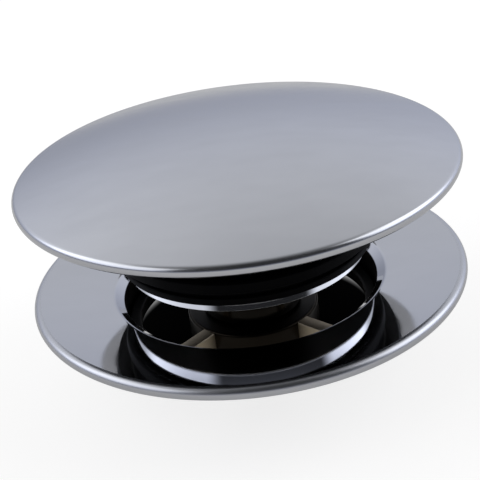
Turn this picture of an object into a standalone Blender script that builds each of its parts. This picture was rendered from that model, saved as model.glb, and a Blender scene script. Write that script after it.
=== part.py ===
# Pop-up drain top set: a mushroom plug on a push latch, over a dished flange.
# It stands with the plug raised. Z is up, the axis of every turned piece is Z,
# and the origin is the centre of the lock nut's lower face, the lowest point.
# Sizes below are in millimetres. MM turns them to Blender's metres.

import math

import bmesh
import bpy
from mathutils import Matrix, Vector

MM = 0.001

# Clearances
FIT = 0.3             # between a piece and what it rests on or screws into
RUN = 0.3             # beside a piece that slides or turns
STOP = 0.2            # over the rotor, under the guide cap, with the plug up

# Travel of the plug
STROKE = 8.0
LATCH_TURN = 45.0     # degrees that the rotor turns over one stroke

# Flange
FLANGE_D = 64.0
RIM_ROLL = 0.95       # radius of the rounded outer rim
DISH_SLOPE_RIM = 9.2  # degrees
DISH_SLOPE_THROAT = 4.4
THROAT_D = 37.7
THROAT_EDGE = 0.3     # round at the top of the throat's wall
LEAD_SLOPE = 38.0     # degrees of the cone that leads into the throat
LEAD_W = 1.7          # from the throat's wall to the dish
LEAD_ROUND = 1.0      # round between cone and dish
COLLAR_D = 41.9       # crest of the pipe thread
THREAD_DEPTH = 0.9
THREAD_PITCH = 2.309
THREAD_END = 0.45     # plain collar below the thread
THREAD_RUNOUT = 0.35  # plain collar above the thread
COLLAR_DROP = 6.5     # collar's end below the rim's lower edge
LEDGE_W = 1.55
LEDGE_H = 0.8
SEAT_DROP = 1.3       # flat seat for the gasket, below the rim's lower edge
SEAT_EDGE = 1.5       # seat's edge outside the gasket's
RIM_LAND = 1.3        # flat under the rim

# Flange gasket
GASKET_W = 3.75
GASKET_H = 1.5

# Spider
HUB_D = 19.6
HUB_H = 4.0
HUB_DROP = 4.0        # hub's top below the rim's lower edge
ARM_COUNT = 4
ARM_W = 2.2
SPIDER_RING_W = 1.6
SPIDER_SIDE = 0.35    # between the spider's ring and the throat
ARM_SINK = 0.15       # arm's top below the hub's

# Lock nut and its washer
NUT_FLATS = 16.0
NUT_H = 3.3
NUT_WASHER_IN = 0.8   # washer's edge inside the hub's
NUT_WASHER_H = 0.6

# Rotor and its clip
ROTOR_CORE_D = 6.2
ROTOR_LUG_D = 8.4
ROTOR_LUG_W = 2.0
ROTOR_H = 2.8
CLIP_H = 0.6
CLIP_GROOVE_GAP = 0.2
PIN_END = 0.6         # pin below its groove
CLIP_BITE = 0.3       # how far the clip reaches into its groove
CLIP_MOUTH = 1.5

# Latch barrel and cam
CAM_WALL = 1.0
BARREL_WALL = 1.5
SPIGOT_WALL = 1.4
BARREL_FLOOR = 0.8
DRAIN_HOLE_D = 2.4

# Return spring and its washer
SPRING_WIRE = 0.6
SPRING_SIDE = 0.3     # between the spring and the cam's bore
SPRING_TURNS = 5
SPRING_CLOSED = 4.9   # its length with the plug down
SPRING_POINT_COUNT = 9  # points in a turn
SPRING_WASHER_H = 0.6

# Guide cap and stem bush
GUIDE_HEAD_H = 1.2
GUIDE_SPIGOT_H = 1.1
BUSH_WALL = 0.8
BUSH_SINK = 0.1       # bush below the spanner slots
SPANNER_SLOT_W = 1.4
SPANNER_SLOT_H = 0.7

# Stem
STEM_D = 6.0
STEM_PIN_D = 3.2
STEM_NECK_D = 4.8
STEM_NECK_GAP = 0.6   # between the stem's end and the cap

# Seal plate and its screws
PLATE_IN = 1.25       # plate's edge inside the throat's wall
PLATE_H = 1.0
PLATE_CLEAR = 0.76    # above the hub with the plug down
PLATE_EDGE = 0.15
PLATE_SCREW_COUNT = 3
PLATE_SCREW_D = 2.2
PLATE_SCREW_HEAD_D = 4.0
PLATE_SCREW_LEN = 6.0
SCREW_SLOT_W = 0.6
SCREW_SLOT_H = 0.4

# Seal
SEAL_OVERLAP = 0.75   # lip's edge outside the throat's wall
SEAL_LIP_H = 1.7
SEAL_NOSE_IN = 0.35   # nose's edge inside the throat's wall
SEAL_NOSE_H = 1.1
SEAL_WAIST_DEPTH = 0.8
SEAL_LIFT = 0.35      # between lip and cone with the plug down

# Seal carrier
CARRIER_NECK_D = 29.0
CARRIER_STEP = 0.3    # carrier's flange inside the seal's waist
CARRIER_FLANGE_H = 1.2
CARRIER_SPIGOT_WALL = 4.9
CARRIER_WALL = 1.5
CARRIER_CORE_FLOOR = 1.5
CARRIER_FILLET = 0.8
WEB_H = 1.6
CAP_RING_WIRE = 1.0   # rubber ring between carrier and cap

# Cap
CAP_D = 63.7
CAP_ROLL = 0.9        # radius of the rounded rim
CAP_WALL = 1.3
CAP_HEM_W = 2.4       # width of the thick rim
CAP_SLOPE_RIM = 14.4  # degrees of the dome at its rim
OPEN_GAP = 15.7       # cap's rim above the flange's rim, plug raised
BOSS_WALL = 2.5

# Facets of the turned pieces
FACET_COUNT_WIDE = 64
FACET_COUNT_MID = 40
FACET_COUNT_SMALL = 28

# Radii, from the rotor outwards
cam_bore_r = ROTOR_CORE_D / 2 + RUN
lug_bore_r = ROTOR_LUG_D / 2 + RUN
cam_r = lug_bore_r + CAM_WALL
barrel_bore_r = cam_r + RUN
barrel_r = barrel_bore_r + BARREL_WALL
spigot_r = lug_bore_r + SPIGOT_WALL
spring_r = cam_bore_r - SPRING_SIDE - SPRING_WIRE / 2
clip_r = spring_r - SPRING_WIRE / 2 - RUN
hub_r = HUB_D / 2
guide_bore_r = STEM_D / 2 + 2 * RUN + BUSH_WALL

# Radii, from the throat's wall inwards
throat_r = THROAT_D / 2
spider_r = throat_r - SPIDER_SIDE
spider_bore_r = spider_r - SPIDER_RING_W
ledge_r = throat_r - LEDGE_W
plate_r = throat_r - PLATE_IN
nose_r = throat_r - SEAL_NOSE_IN
waist_r = nose_r - SEAL_WAIST_DEPTH
lip_r = throat_r + SEAL_OVERLAP
plug_bore_r = barrel_r + RUN
carrier_spigot_r = plug_bore_r + CARRIER_SPIGOT_WALL
plate_screw_r = (plug_bore_r + carrier_spigot_r) / 2

# Radii, from the collar outwards
gasket_bore_r = COLLAR_D / 2 + RUN
gasket_r = gasket_bore_r + GASKET_W
seat_r = gasket_r + SEAT_EDGE

# Heights, from the lock nut's lower face upwards
hub_bottom = NUT_H + FIT + NUT_WASHER_H + FIT
hub_top = hub_bottom + HUB_H
rim_edge = hub_top + HUB_DROP
rim_top = rim_edge + 2 * RIM_ROLL
collar_end = rim_edge - COLLAR_DROP
ledge_top = collar_end + LEDGE_H
gasket_seat = rim_edge - SEAT_DROP

barrel_bottom = FIT
barrel_shoulder = hub_top + FIT
spring_foot = barrel_bottom + BARREL_FLOOR + FIT
spring_top = spring_foot + SPRING_CLOSED + STROKE
spring_washer_z = spring_top + FIT
clip_z = spring_washer_z - FIT - CLIP_H
rotor_z = spring_washer_z + SPRING_WASHER_H + FIT
rotor_top = rotor_z + ROTOR_H
cam_bottom = rotor_top - STROKE + FIT
cam_top = rotor_top + STOP
guide_spigot_z = cam_top + FIT
barrel_top = guide_spigot_z + GUIDE_SPIGOT_H
guide_head_z = barrel_top + FIT
guide_top = guide_head_z + GUIDE_HEAD_H

web_bottom = guide_top + FIT + STROKE
web_top = web_bottom + WEB_H
plate_z = hub_top + PLATE_CLEAR + STROKE
plate_top = plate_z + PLATE_H

# Flange's dish: an arc between the rim's roll and the round above the throat's cone
flange_r = FLANGE_D / 2
roll_r = flange_r - RIM_ROLL
beta = math.radians(DISH_SLOPE_RIM)
alpha = math.radians(DISH_SLOPE_THROAT)
dish_r1 = roll_r - RIM_ROLL * math.sin(beta)
dish_z1 = rim_edge + RIM_ROLL + RIM_ROLL * math.cos(beta)
dish_r0 = throat_r + LEAD_W
dish_radius = (dish_r1 - dish_r0) / (math.sin(beta) - math.sin(alpha))
dish_centre_r = dish_r1 - dish_radius * math.sin(beta)
dish_centre_z = dish_z1 + dish_radius * math.cos(beta)


def dish_height(r):
    """Height of the flange's dished face at radius r."""
    return dish_centre_z - math.sqrt(dish_radius ** 2 - (r - dish_centre_r) ** 2)


# Throat's cone, from the round above it to the small round at the wall
lead_angle = math.radians(LEAD_SLOPE)
lead_round_r = dish_r0 + LEAD_ROUND * math.sin(alpha)
lead_round_z = dish_height(dish_r0) - LEAD_ROUND * math.cos(alpha)
lead_top_r = lead_round_r - LEAD_ROUND * math.sin(lead_angle)
lead_top_z = lead_round_z + LEAD_ROUND * math.cos(lead_angle)


def lead_height(r):
    """Height of the throat's cone at radius r."""
    return lead_top_z - (lead_top_r - r) * math.tan(lead_angle)


throat_top_r = throat_r + THROAT_EDGE * (1 - math.sin(lead_angle))
throat_z = lead_height(throat_top_r) - THROAT_EDGE * math.cos(lead_angle)

# Seal: its lip comes down on the cone round the throat
lip_z = lead_height(lip_r) + STROKE + SEAL_LIFT
seal_z = plate_top + FIT
seal_top = lip_z + SEAL_LIP_H
carrier_flange_z = seal_top + FIT
carrier_flange_top = carrier_flange_z + CARRIER_FLANGE_H

# Cap: a dome of one radius, over a rounded rim
cap_rim_z = rim_top + OPEN_GAP
cap_roll_r = CAP_D / 2 - CAP_ROLL
cap_roll_z = cap_rim_z + CAP_ROLL
gamma = math.radians(CAP_SLOPE_RIM)
dome_edge_r = cap_roll_r + CAP_ROLL * math.sin(gamma)
dome_edge_z = cap_roll_z + CAP_ROLL * math.cos(gamma)
dome_radius = dome_edge_r / math.sin(gamma)
dome_centre_z = dome_edge_z - dome_radius * math.cos(gamma)
cap_top = dome_centre_z + dome_radius


def cap_underside(r):
    """Height of the cap's inner face at radius r."""
    return dome_centre_z + math.sqrt((dome_radius - CAP_WALL) ** 2 - r ** 2)


# Rubber ring in the gap between the carrier's top and the cap
cap_ring_r = CARRIER_NECK_D / 2 - CARRIER_WALL / 2
cap_ring_z = cap_underside(cap_ring_r + CAP_RING_WIRE / 2) - FIT - CAP_RING_WIRE / 2
carrier_top = cap_ring_z - CAP_RING_WIRE / 2 - FIT
boss_z = web_top + FIT
boss_top = cap_underside(0) - FIT


# Start from an empty file
for old in list(bpy.data.objects):
    bpy.data.objects.remove(old)

parts = bpy.data.collections.new("pop_up_drain")
cutters = bpy.data.collections.new("cutters")
bpy.context.scene.collection.children.link(parts)
bpy.context.scene.collection.children.link(cutters)


def axis_empty(name):
    """An empty on the joint axis, which carries one moving body."""
    empty = bpy.data.objects.new(name, None)
    bpy.context.scene.collection.objects.link(empty)
    return empty


lift_axis = axis_empty("lift_axis")
plug_axis = axis_empty("plug_axis")
rotor_axis = axis_empty("rotor_axis")
plug_axis.parent = lift_axis
rotor_axis.parent = lift_axis


def finish(name, rgb, metallic, roughness):
    """A plain Principled material."""
    made = bpy.data.materials.new(name)
    made.use_nodes = True
    shader = made.node_tree.nodes["Principled BSDF"]
    shader.inputs["Base Color"].default_value = (*rgb, 1.0)
    shader.inputs["Metallic"].default_value = metallic
    shader.inputs["Roughness"].default_value = roughness
    return made


chrome = finish("polished_chrome", (0.62, 0.63, 0.65), 1.0, 0.06)
satin = finish("satin_chrome", (0.42, 0.43, 0.47), 1.0, 0.28)
dark_chrome = finish("black_nickel", (0.06, 0.06, 0.065), 1.0, 0.2)
brass = finish("turned_brass", (0.62, 0.44, 0.18), 1.0, 0.3)
steel = finish("stainless_steel", (0.5, 0.5, 0.5), 1.0, 0.3)
black_rubber = finish("black_rubber", (0.012, 0.012, 0.013), 0.0, 0.6)
black_plastic = finish("black_acetal", (0.015, 0.015, 0.016), 0.0, 0.4)
white_plastic = finish("white_acetal", (0.75, 0.75, 0.72), 0.0, 0.4)


def place(obj, material, parent=None):
    """Files an object as a part, with its material and carrier."""
    obj.data.materials.clear()
    obj.data.materials.append(material)
    for holder in list(obj.users_collection):
        holder.objects.unlink(obj)
    parts.objects.link(obj)
    obj.parent = parent
    return obj


def guide(obj):
    """Files an object as a cutter, which isn't a part."""
    for holder in list(obj.users_collection):
        holder.objects.unlink(obj)
    cutters.objects.link(obj)
    obj.hide_render = True
    obj.display_type = "WIRE"
    return obj


def arc(centre_r, centre_z, radius, start, end, count):
    """Points of a round corner, angles in degrees from the +R direction."""
    points = []
    for step in range(count + 1):
        angle = math.radians(start + (end - start) * step / count)
        points.append((centre_r + radius * math.cos(angle), centre_z + radius * math.sin(angle)))
    return points


def turned(name, profile, steps, closed=True):
    """Turns a profile of (radius, height) points about Z.

    The profile runs down its outer side. A closed one is a ring round the
    axis, and an open one starts and ends on the axis.
    """
    mesh = bpy.data.meshes.new(name)
    count = len(profile)
    edges = [(k, k + 1) for k in range(count - 1)]
    if closed:
        edges.append((count - 1, 0))
    mesh.from_pydata([(r * MM, 0.0, z * MM) for r, z in profile], edges, [])
    obj = bpy.data.objects.new(name, mesh)
    bpy.context.scene.collection.objects.link(obj)
    screw = obj.modifiers.new("turn", "SCREW")
    screw.axis = "Z"
    screw.angle = math.tau
    screw.steps = steps
    screw.render_steps = steps
    screw.use_merge_vertices = True
    screw.merge_threshold = 0.000001
    screw.use_smooth_shade = False
    return obj


def ring(name, inner_d, outer_d, low, high, steps):
    """A plain ring or bush."""
    inner, outer = inner_d / 2, outer_d / 2
    return turned(name, [(outer, high), (outer, low), (inner, low), (inner, high)], steps)


def solid(obj):
    """Replaces an object by the mesh its modifiers make, with loose caps welded."""
    graph = bpy.context.evaluated_depsgraph_get()
    graph.update()
    mesh = bpy.data.meshes.new_from_object(obj.evaluated_get(graph), depsgraph=graph)
    build = bmesh.new()
    build.from_mesh(mesh)
    bmesh.ops.remove_doubles(build, verts=build.verts, dist=0.000001)
    build.to_mesh(mesh)
    build.free()
    made = bpy.data.objects.new(obj.name + "_solid", mesh)
    bpy.context.scene.collection.objects.link(made)
    made.matrix_world = obj.matrix_world
    name = obj.name
    bpy.data.objects.remove(obj)
    made.name = name
    return made


def combine(obj, other, operation):
    """Adds a Boolean with the exact solver."""
    boolean = obj.modifiers.new(other.name, "BOOLEAN")
    boolean.operation = operation
    boolean.solver = "EXACT"
    boolean.object = other
    return obj


def box(name, size, centre, turn=0.0):
    """A box, its size and place in its mesh, turned about Z by an angle in degrees."""
    mesh = bpy.data.meshes.new(name)
    build = bmesh.new()
    bmesh.ops.create_cube(build, size=1.0)
    matrix = Matrix.Rotation(math.radians(turn), 4, "Z") @ Matrix.Translation([c * MM for c in centre])
    matrix = matrix @ Matrix.Diagonal((size[0] * MM, size[1] * MM, size[2] * MM, 1.0))
    bmesh.ops.transform(build, matrix=matrix, verts=build.verts)
    build.to_mesh(mesh)
    build.free()
    obj = bpy.data.objects.new(name, mesh)
    bpy.context.scene.collection.objects.link(obj)
    return obj


def cylinder(name, diameter, low, high, centre=(0.0, 0.0), steps=24, top_d=None):
    """A cylinder or cone that stands on the XY point named."""
    mesh = bpy.data.meshes.new(name)
    build = bmesh.new()
    top = diameter if top_d is None else top_d
    move = Matrix.Translation((centre[0] * MM, centre[1] * MM, (low + high) / 2 * MM))
    bmesh.ops.create_cone(
        build, cap_ends=True, segments=steps, radius1=diameter / 2 * MM,
        radius2=top / 2 * MM, depth=(high - low) * MM, matrix=move)
    build.to_mesh(mesh)
    build.free()
    obj = bpy.data.objects.new(name, mesh)
    bpy.context.scene.collection.objects.link(obj)
    return obj


def make_flange():
    """The dished flange and its short threaded collar, one casting."""
    outer = COLLAR_D / 2 - THREAD_DEPTH
    profile = arc(roll_r, rim_edge + RIM_ROLL, RIM_ROLL, 90 + DISH_SLOPE_RIM, -90, 7)
    profile += [(roll_r - RIM_LAND, rim_edge), (seat_r, gasket_seat)]
    chamfer = THREAD_END - 0.05
    profile += [(outer, gasket_seat), (outer, collar_end + chamfer), (outer - chamfer, collar_end)]
    profile += [(ledge_r, collar_end), (ledge_r, ledge_top)]
    profile += [(throat_r, ledge_top)]
    profile += arc(throat_r + THROAT_EDGE, throat_z, THROAT_EDGE, 180, 90 + LEAD_SLOPE, 3)
    profile += arc(lead_round_r, lead_round_z, LEAD_ROUND, 90 + LEAD_SLOPE, 90 + DISH_SLOPE_THROAT, 3)
    dish_steps = 5
    for step in range(1, dish_steps):
        r = dish_r0 + (dish_r1 - dish_r0) * step / dish_steps
        profile.append((r, dish_height(r)))
    flange = turned("flange", profile, FACET_COUNT_WIDE)

    # The thread is a right-handed ridge, wound up round the collar and joined to it
    root = outer - FIT
    crest = COLLAR_D / 2
    foot = THREAD_PITCH * 0.72
    flat = THREAD_PITCH * 0.16
    start = collar_end + THREAD_END
    turns = (gasket_seat - THREAD_RUNOUT - foot - start) / THREAD_PITCH
    middle = start + foot / 2
    tooth = [(crest, middle + flat / 2), (crest, middle - flat / 2), (root, middle - foot / 2)]
    tooth.append((root, middle + foot / 2))
    ridge = turned("collar_thread", tooth, round(FACET_COUNT_MID * turns))
    ridge.modifiers["turn"].angle = math.tau * turns
    ridge.modifiers["turn"].screw_offset = THREAD_PITCH * turns * MM
    ridge.modifiers["turn"].use_merge_vertices = False
    ridge = solid(ridge)
    build = bmesh.new()
    build.from_mesh(ridge.data)
    bmesh.ops.holes_fill(build, edges=[e for e in build.edges if e.is_boundary], sides=0)
    bmesh.ops.recalc_face_normals(build, faces=build.faces)
    build.to_mesh(ridge.data)
    build.free()
    combine(flange, guide(ridge), "UNION")
    return place(flange, chrome)


def make_gasket():
    """The rubber ring that seals the flange to the basin."""
    gasket = ring(
        "flange_gasket", 2 * gasket_bore_r, 2 * gasket_r,
        gasket_seat - FIT - GASKET_H, gasket_seat - FIT, FACET_COUNT_WIDE)
    return place(gasket, black_rubber)


def make_spider():
    """The cross that holds the latch barrel in the middle of the throat."""
    low = ledge_top + FIT
    profile = [(spider_r, hub_top), (spider_r, low), (spider_bore_r, low), (spider_bore_r, hub_top)]
    spider = turned("spider", profile, FACET_COUNT_WIDE)
    hub_edge = 0.4
    hub = turned("spider_hub", [
        (hub_r - hub_edge, hub_top), (hub_r, hub_top - hub_edge), (hub_r, hub_bottom),
        (spigot_r + RUN, hub_bottom), (spigot_r + RUN, hub_top)], FACET_COUNT_MID)
    combine(spider, guide(hub), "UNION")
    foot_r = ledge_r - RUN
    start = (spigot_r + RUN + hub_r) / 2
    end = (spider_bore_r + spider_r) / 2
    top = hub_top - ARM_SINK
    for k in range(ARM_COUNT):
        # Each arm is a side outline, extruded to its width: deep at the hub, shallow at the ring
        outline = [
            (start, top), (end, top), (end, low + ARM_SINK), (foot_r, low + ARM_SINK),
            (start, hub_bottom + ARM_SINK)]
        curve = bpy.data.curves.new("spider_arm", "CURVE")
        curve.dimensions = "2D"
        curve.fill_mode = "BOTH"
        curve.extrude = ARM_W / 2 * MM
        line = curve.splines.new("POLY")
        line.points.add(len(outline) - 1)
        for point, (r, z) in zip(line.points, outline):
            point.co = (r * MM, z * MM, 0.0, 1.0)
        line.use_cyclic_u = True
        arm = bpy.data.objects.new("spider_arm_%d" % (k + 1), curve)
        bpy.context.scene.collection.objects.link(arm)
        turn = math.radians(45 + 360 * k / ARM_COUNT)
        arm.matrix_world = Matrix.Rotation(turn, 4, "Z") @ Matrix.Rotation(math.radians(90), 4, "X")
        bpy.context.view_layer.update()
        combine(spider, guide(solid(arm)), "UNION")
    return place(spider, chrome)


def make_nut_and_washer():
    """The hexagon nut and flat washer that clamp the barrel to the hub."""
    bore = 2 * (spigot_r + RUN)
    nut = cylinder("lock_nut", NUT_FLATS / math.cos(math.pi / 6), 0.0, NUT_H, steps=6)
    bevel = nut.modifiers.new("edges", "BEVEL")
    bevel.width = 0.25 * MM
    bevel.segments = 1
    hole = guide(cylinder("nut_hole", bore, -1.0, NUT_H + 1.0, steps=FACET_COUNT_SMALL))
    combine(nut, hole, "DIFFERENCE")
    place(nut, brass)
    low = NUT_H + FIT
    washer = ring(
        "nut_washer", bore, 2 * (hub_r - NUT_WASHER_IN), low, low + NUT_WASHER_H, FACET_COUNT_SMALL)
    place(washer, steel)


def make_barrel():
    """The fixed barrel of the latch: it stands in the hub and holds spring, cam and rotor."""
    edge = 0.3
    floor = barrel_bottom + BARREL_FLOOR
    profile = [
        (barrel_r - edge, barrel_top), (barrel_r, barrel_top - edge), (barrel_r, barrel_shoulder),
        (spigot_r, barrel_shoulder), (spigot_r, barrel_bottom + edge),
        (spigot_r - edge, barrel_bottom), (DRAIN_HOLE_D / 2, barrel_bottom),
        (DRAIN_HOLE_D / 2, floor), (lug_bore_r, floor), (lug_bore_r, cam_bottom - FIT),
        (barrel_bore_r, cam_bottom - FIT), (barrel_bore_r, barrel_top)]
    return place(turned("barrel", profile, FACET_COUNT_MID), dark_chrome)


def make_spring():
    """The compression spring under the rotor, one unbroken wire."""
    low = spring_foot + SPRING_WIRE / 2
    high = spring_top - SPRING_WIRE / 2
    count = SPRING_TURNS * SPRING_POINT_COUNT
    points = []
    for k in range(count + 1):
        angle = math.tau * k / SPRING_POINT_COUNT
        height = low + (high - low) * k / count
        points.append((spring_r * math.cos(angle), spring_r * math.sin(angle), height))
    curve = bpy.data.curves.new("return_spring", "CURVE")
    curve.dimensions = "3D"
    curve.bevel_depth = SPRING_WIRE / 2 * MM
    curve.bevel_resolution = 1
    curve.use_fill_caps = True
    line = curve.splines.new("POLY")
    line.points.add(len(points) - 1)
    for point, (x, y, z) in zip(line.points, points):
        point.co = (x * MM, y * MM, z * MM, 1.0)
    spring = bpy.data.objects.new("return_spring", curve)
    bpy.context.scene.collection.objects.link(spring)
    gap = (high - low) / SPRING_TURNS - SPRING_WIRE
    print("return_spring: least gap between turns %.2f mm" % gap)
    return place(spring, steel)


def make_spring_washer():
    """The thin washer between spring and rotor, so that the rotor turns freely."""
    washer = ring(
        "spring_washer", STEM_PIN_D + 2 * RUN, ROTOR_CORE_D,
        spring_washer_z, spring_washer_z + SPRING_WASHER_H, FACET_COUNT_SMALL)
    return place(washer, steel, lift_axis)


def cross(name, width, length, low, high, top_turn, bottom_turn, slices):
    """Two crossed bars, twisted evenly about Z from their top to their bottom."""
    bars = []
    for k in range(2):
        bar = bpy.data.meshes.new("%s_%d" % (name, k + 1))
        build = bmesh.new()
        half_w, half_l = width / 2 * MM, length / 2 * MM
        loops = []
        for step in range(slices + 1):
            share = step / slices
            z = (low + (high - low) * share) * MM
            turn = math.radians(90 * k + bottom_turn + (top_turn - bottom_turn) * share)
            spin = Matrix.Rotation(turn, 4, "Z")
            corners = [(half_l, half_w), (-half_l, half_w), (-half_l, -half_w), (half_l, -half_w)]
            loops.append([build.verts.new(spin @ Vector((x, y, z))) for x, y in corners])
        build.faces.new(reversed(loops[0]))
        build.faces.new(loops[-1])
        for below, above in zip(loops, loops[1:]):
            for i in range(4):
                j = (i + 1) % 4
                build.faces.new((below[i], below[j], above[j], above[i]))
        bmesh.ops.recalc_face_normals(build, faces=build.faces)
        build.to_mesh(bar)
        build.free()
        obj = bpy.data.objects.new("%s_%d" % (name, k + 1), bar)
        bpy.context.scene.collection.objects.link(obj)
        bars.append(guide(obj))
    return bars


def turn_at(height):
    """Angle in degrees of the cam's slots at a height: they wind once over the stroke."""
    return LATCH_TURN * (height - rotor_z) / STROKE


def make_cam_ring():
    """The fixed cam: a sleeve with four winding slots that turn the rotor as it travels."""
    cam = ring("cam_ring", 2 * cam_bore_r, 2 * cam_r, cam_bottom, cam_top, FACET_COUNT_SMALL)
    low, high = cam_bottom - 1.0, cam_top + 1.0
    bars = cross(
        "cam_slot", ROTOR_LUG_W + 2 * RUN, 2 * lug_bore_r, low, high,
        turn_at(high), turn_at(low), 10)
    for bar in bars:
        combine(cam, bar, "DIFFERENCE")
    return place(cam, white_plastic)


def make_rotor():
    """The rotor: a bored core with four lugs that run in the cam's slots."""
    rotor = cylinder("rotor", ROTOR_CORE_D, rotor_z, rotor_top, steps=FACET_COUNT_SMALL)
    lug_h = 0.2
    bars = cross(
        "rotor_lug", ROTOR_LUG_W, ROTOR_LUG_D, rotor_z + lug_h, rotor_top - lug_h,
        turn_at(rotor_top - lug_h), turn_at(rotor_z + lug_h), 3)
    for bar in bars:
        combine(rotor, bar, "UNION")
    hole = guide(cylinder(
        "rotor_hole", STEM_PIN_D + 2 * RUN, rotor_z - 1.0, rotor_top + 1.0, steps=FACET_COUNT_SMALL))
    combine(rotor, hole, "DIFFERENCE")
    return place(rotor, white_plastic, rotor_axis)


def make_rotor_clip():
    """The open retaining ring that keeps rotor and washer on the stem's pin, inside the spring."""
    inner = STEM_PIN_D - 2 * CLIP_BITE
    clip = ring("rotor_clip", inner, 2 * clip_r, clip_z, clip_z + CLIP_H, FACET_COUNT_SMALL)
    reach = 2 * clip_r
    middle = (reach / 2, 0.0, clip_z + CLIP_H / 2)
    mouth = guide(box("clip_mouth", (reach, CLIP_MOUTH, 3 * CLIP_H), middle))
    combine(clip, mouth, "DIFFERENCE")
    return place(clip, steel, plug_axis)


def make_stem():
    """The stem: one turned rod from the rotor up through the guide into the cap's boss."""
    body, pin, neck = STEM_D / 2, STEM_PIN_D / 2, STEM_NECK_D / 2
    groove = pin - CLIP_BITE - RUN
    top = cap_underside(0) - STEM_NECK_GAP
    shoulder = web_bottom - FIT
    foot = rotor_top + FIT
    groove_high = clip_z + CLIP_H + CLIP_GROOVE_GAP
    groove_low = clip_z - CLIP_GROOVE_GAP
    tip = groove_low - PIN_END
    profile = [
        (0.0, top), (neck - 0.4, top), (neck, top - 0.4), (neck, shoulder), (body, shoulder),
        (body, foot), (pin, foot), (pin, groove_high), (groove, groove_high),
        (groove, groove_low), (pin, groove_low), (pin, tip + 0.3), (pin - 0.3, tip), (0.0, tip)]
    return place(turned("stem", profile, FACET_COUNT_SMALL, closed=False), steel, plug_axis)


def make_guide_cap():
    """The screwed cap of the barrel, with two slots for a pin spanner, and its stem bush."""
    edge = 0.3
    profile = [
        (barrel_r - edge, guide_top), (barrel_r, guide_top - edge), (barrel_r, guide_head_z),
        (cam_r, guide_head_z), (cam_r, guide_spigot_z), (guide_bore_r, guide_spigot_z),
        (guide_bore_r, guide_top)]
    cap = turned("guide_cap", profile, FACET_COUNT_MID)
    slot = box(
        "spanner_slot", (3 * barrel_r, SPANNER_SLOT_W, 2 * SPANNER_SLOT_H), (0.0, 0.0, guide_top))
    combine(cap, guide(slot), "DIFFERENCE")
    place(cap, brass)
    bush = ring(
        "stem_bush", STEM_D + 2 * RUN, 2 * (guide_bore_r - RUN),
        guide_spigot_z, guide_top - SPANNER_SLOT_H - BUSH_SINK, FACET_COUNT_SMALL)
    place(bush, white_plastic)


def make_seal_plate():
    """The bright turned plate that holds the seal up against the carrier."""
    profile = [
        (plate_r - PLATE_EDGE, plate_top), (plate_r, plate_top - PLATE_EDGE),
        (plate_r, plate_z + PLATE_EDGE), (plate_r - PLATE_EDGE, plate_z), (plug_bore_r, plate_z),
        (plug_bore_r, plate_top)]
    plate = turned("seal_plate", profile, FACET_COUNT_WIDE)
    for k, (x, y) in enumerate(plate_screw_places()):
        sink = cylinder(
            "plate_sink_%d" % (k + 1), PLATE_SCREW_HEAD_D + 2 * RUN, plate_z - 0.2, plate_top + 0.2,
            (x, y), 20, top_d=PLATE_SCREW_D + 2 * RUN)
        combine(plate, guide(sink), "DIFFERENCE")
    return place(plate, steel, plug_axis)


def plate_screw_places():
    """Centres of the plate's screws, on their circle."""
    places = []
    for k in range(PLATE_SCREW_COUNT):
        angle = math.radians(90 + 360 * k / PLATE_SCREW_COUNT)
        places.append((plate_screw_r * math.cos(angle), plate_screw_r * math.sin(angle)))
    return places


def make_plate_screws():
    """Three countersunk screws, alike, that hold the plate to the carrier."""
    head, shank = PLATE_SCREW_HEAD_D / 2, PLATE_SCREW_D / 2
    low = plate_z + 0.02
    cone_top = plate_z + (head - shank) * 0.8
    tip = plate_z + PLATE_SCREW_LEN
    profile = [(0.0, tip), (shank - 0.2, tip), (shank, tip - 0.3), (shank, cone_top)]
    profile += [(head, plate_z + 0.1), (head, low), (0.0, low)]
    for k, (x, y) in enumerate(plate_screw_places()):
        screw = turned("plate_screw_%d" % (k + 1), profile, 16, closed=False)
        screw.location = (x * MM, y * MM, 0.0)
        slot_size = (PLATE_SCREW_HEAD_D + 1.0, SCREW_SLOT_W, 2 * SCREW_SLOT_H)
        slot = box("screw_slot_%d" % (k + 1), slot_size, (x, y, plate_z))
        combine(screw, guide(slot), "DIFFERENCE")
        place(screw, steel, plug_axis)


def make_seal():
    """The rubber seal: a nose that fills the throat and a lip that lands on its cone."""
    edge = 0.2
    inner = carrier_spigot_r + RUN
    nose_top = seal_z + SEAL_NOSE_H
    profile = [
        (lip_r - 2 * edge, seal_top), (lip_r, seal_top - edge), (lip_r, lip_z + edge),
        (lip_r - edge, lip_z), (waist_r, lip_z), (waist_r, nose_top), (nose_r - edge, nose_top),
        (nose_r, nose_top - edge), (nose_r, seal_z + edge), (nose_r - edge, seal_z),
        (inner, seal_z), (inner, seal_top)]
    return place(turned("seal", profile, FACET_COUNT_WIDE), black_rubber, plug_axis)


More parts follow.
